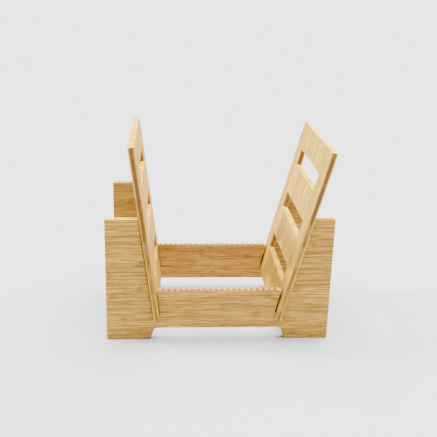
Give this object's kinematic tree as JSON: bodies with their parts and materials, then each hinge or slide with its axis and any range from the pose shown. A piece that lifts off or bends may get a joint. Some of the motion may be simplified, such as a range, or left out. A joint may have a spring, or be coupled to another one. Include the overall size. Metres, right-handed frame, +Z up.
{
  "type": "dish drying rack",
  "caption": "Upright bamboo dish rack: fluted rails on feet, interlocked with outward-leaning slotted side panels that lift out.",
  "frame": {"origin": "centre of the rack's footprint on the surface that the feet stand on", "axes": "+Z up, +X along the fluted rails towards the panel that leans further, +Y from the front upright board to the back one"},
  "size_m": [0.36, 0.206, 0.3259],
  "materials": {
    "board_bamboo": "satin bamboo, horizontal grain",
    "panel_bamboo": "satin bamboo, grain up the slope"
  },
  "bodies": {
    "boards": {"front_board": "board_bamboo", "back_board": "board_bamboo"},
    "left_panel": {"left_panel": "panel_bamboo"},
    "right_panel": {"right_panel": "panel_bamboo"}
  },
  "joints": [
    {"name": "left_panel_lift", "type": "slide", "parent": "boards", "child": "left_panel", "axis": [-0.134, 0, 0.991], "range_m": [0, 0.19]},
    {"name": "right_panel_lift", "type": "slide", "parent": "boards", "child": "right_panel", "axis": [0.2487, 0, 0.9686], "range_m": [0, 0.19]}
  ]
}
